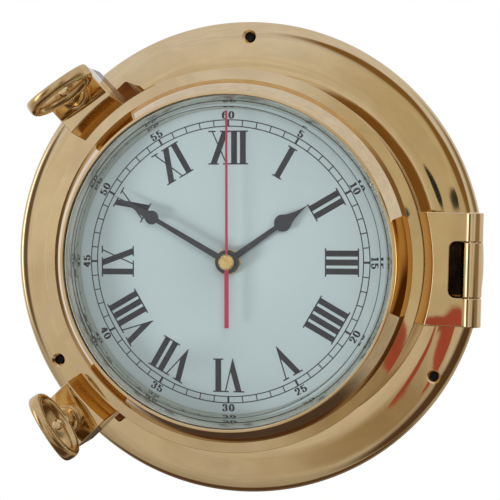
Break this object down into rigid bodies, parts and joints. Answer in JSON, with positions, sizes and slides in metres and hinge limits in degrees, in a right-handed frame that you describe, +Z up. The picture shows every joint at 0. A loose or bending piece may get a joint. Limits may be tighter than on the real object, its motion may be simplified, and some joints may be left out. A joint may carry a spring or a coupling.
{
  "type": "porthole clock",
  "caption": "Brass porthole wall clock: flanged drum, hinged glazed bezel door with ring-headed dog screws, Roman dial, spade hands and a battery movement.",
  "frame": {"origin": "centre of the flange's back face, on the wall plane and the drum's axis", "axes": "+X to the viewer's right, +Z up, face looks along -Y, +Y into the wall"},
  "size_m": [0.23, 0.0852, 0.23],
  "materials": {
    "polished_brass": "hand polished, lacquered, mirror bright",
    "dog_brass": "cast and tumbled, satin polished",
    "gold_brass": "turned, bright",
    "steel": "plated; polished bright on the two rings round the dial",
    "copper_wire": "enamelled copper winding",
    "dial_enamel": "satin white paint with black print",
    "hand_black": "satin black paint",
    "hand_red": "satin crimson paint",
    "clear_glass": "flat clear glass",
    "black_rubber": "matt",
    "black_plastic": "moulded, fine texture",
    "pale_plastic": "moulded acetal",
    "battery_sleeve": "plain shrink sleeve",
    "board_green": "solder resist"
  },
  "bodies": {
    "frame": {"frame_casting": "polished_brass", "case_gasket": "black_rubber", "dial": "dial_enamel", "dial_ring": "steel", "dial_screw_1": "steel", "dial_screw_2": "steel", "dial_screw_3": "steel", "hinge_pin": "polished_brass", "movement_case": "black_plastic", "movement_cover": "black_plastic", "threaded_bush": "gold_brass", "rubber_washer": "black_rubber", "dial_nut": "gold_brass", "battery": "battery_sleeve", "battery_contact_positive": "steel", "battery_contact_negative": "steel", "circuit_board": "board_green", "stator": "steel", "coil": "copper_wire"},
    "door": {"bezel_casting": "polished_brass", "glass": "clear_glass", "glass_gasket": "black_rubber", "glass_spring_ring": "steel"},
    "upper_dog_slide": {"dog_washer_upper": "dog_brass"},
    "upper_dog": {"dog_screw_upper": "dog_brass", "dog_ring_upper": "dog_brass", "dog_clip_upper": "steel"},
    "lower_dog_slide": {"dog_washer_lower": "dog_brass"},
    "lower_dog": {"dog_screw_lower": "dog_brass", "dog_ring_lower": "dog_brass", "dog_clip_lower": "steel"},
    "hour_train": {"hour_hand": "hand_black", "hour_wheel": "pale_plastic"},
    "minute_train": {"minute_hand": "hand_black", "cannon_pinion": "pale_plastic"},
    "second_train": {"second_hand": "hand_red", "second_cap": "gold_brass", "second_wheel": "pale_plastic"},
    "setting_train": {"motion_wheel": "pale_plastic", "setting_knob": "black_plastic"}
  },
  "joints": [
    {"name": "bezel_hinge", "type": "hinge", "parent": "frame", "child": "door", "pos_m": [0.1095, -0.052, 0], "axis": [0, 0, 1], "range_deg": [0, 175]},
    {"name": "upper_dog_travel", "type": "slide", "parent": "door", "child": "upper_dog_slide", "axis": [0, -1, 0], "range_m": [0, 0.009]},
    {"name": "upper_dog_turn", "type": "hinge", "parent": "upper_dog_slide", "child": "upper_dog", "pos_m": [-0.07225, -0.06, 0.07481], "axis": [0, -1, 0], "range_deg": [0, 2160]},
    {"name": "lower_dog_travel", "type": "slide", "parent": "door", "child": "lower_dog_slide", "axis": [0, -1, 0], "range_m": [0, 0.009]},
    {"name": "lower_dog_turn", "type": "hinge", "parent": "lower_dog_slide", "child": "lower_dog", "pos_m": [-0.07225, -0.06, -0.07481], "axis": [0, -1, 0], "range_deg": [0, 2160]},
    {"name": "minute_turn", "type": "hinge", "parent": "frame", "child": "minute_train", "pos_m": [0, -0.048, 0], "axis": [0, 1, 0], "continuous": true},
    {"name": "hour_turn", "type": "hinge", "parent": "frame", "child": "hour_train", "pos_m": [0, -0.047, 0], "axis": [0, 1, 0], "continuous": true},
    {"name": "setting_turn", "type": "hinge", "parent": "frame", "child": "setting_train", "pos_m": [0.008, -0.03, 0], "axis": [0, 1, 0], "continuous": true},
    {"name": "second_turn", "type": "hinge", "parent": "frame", "child": "second_train", "pos_m": [0, -0.049, 0], "axis": [0, 1, 0], "continuous": true}
  ],
  "couplings": [
    {"joint": "upper_dog_travel", "follows": "upper_dog_turn", "m_per_rad": 0.00023873},
    {"joint": "lower_dog_travel", "follows": "lower_dog_turn", "m_per_rad": 0.00023873},
    {"joint": "hour_turn", "follows": "minute_turn", "ratio": 0.083333},
    {"joint": "setting_turn", "follows": "minute_turn", "ratio": -0.33333}
  ]
}
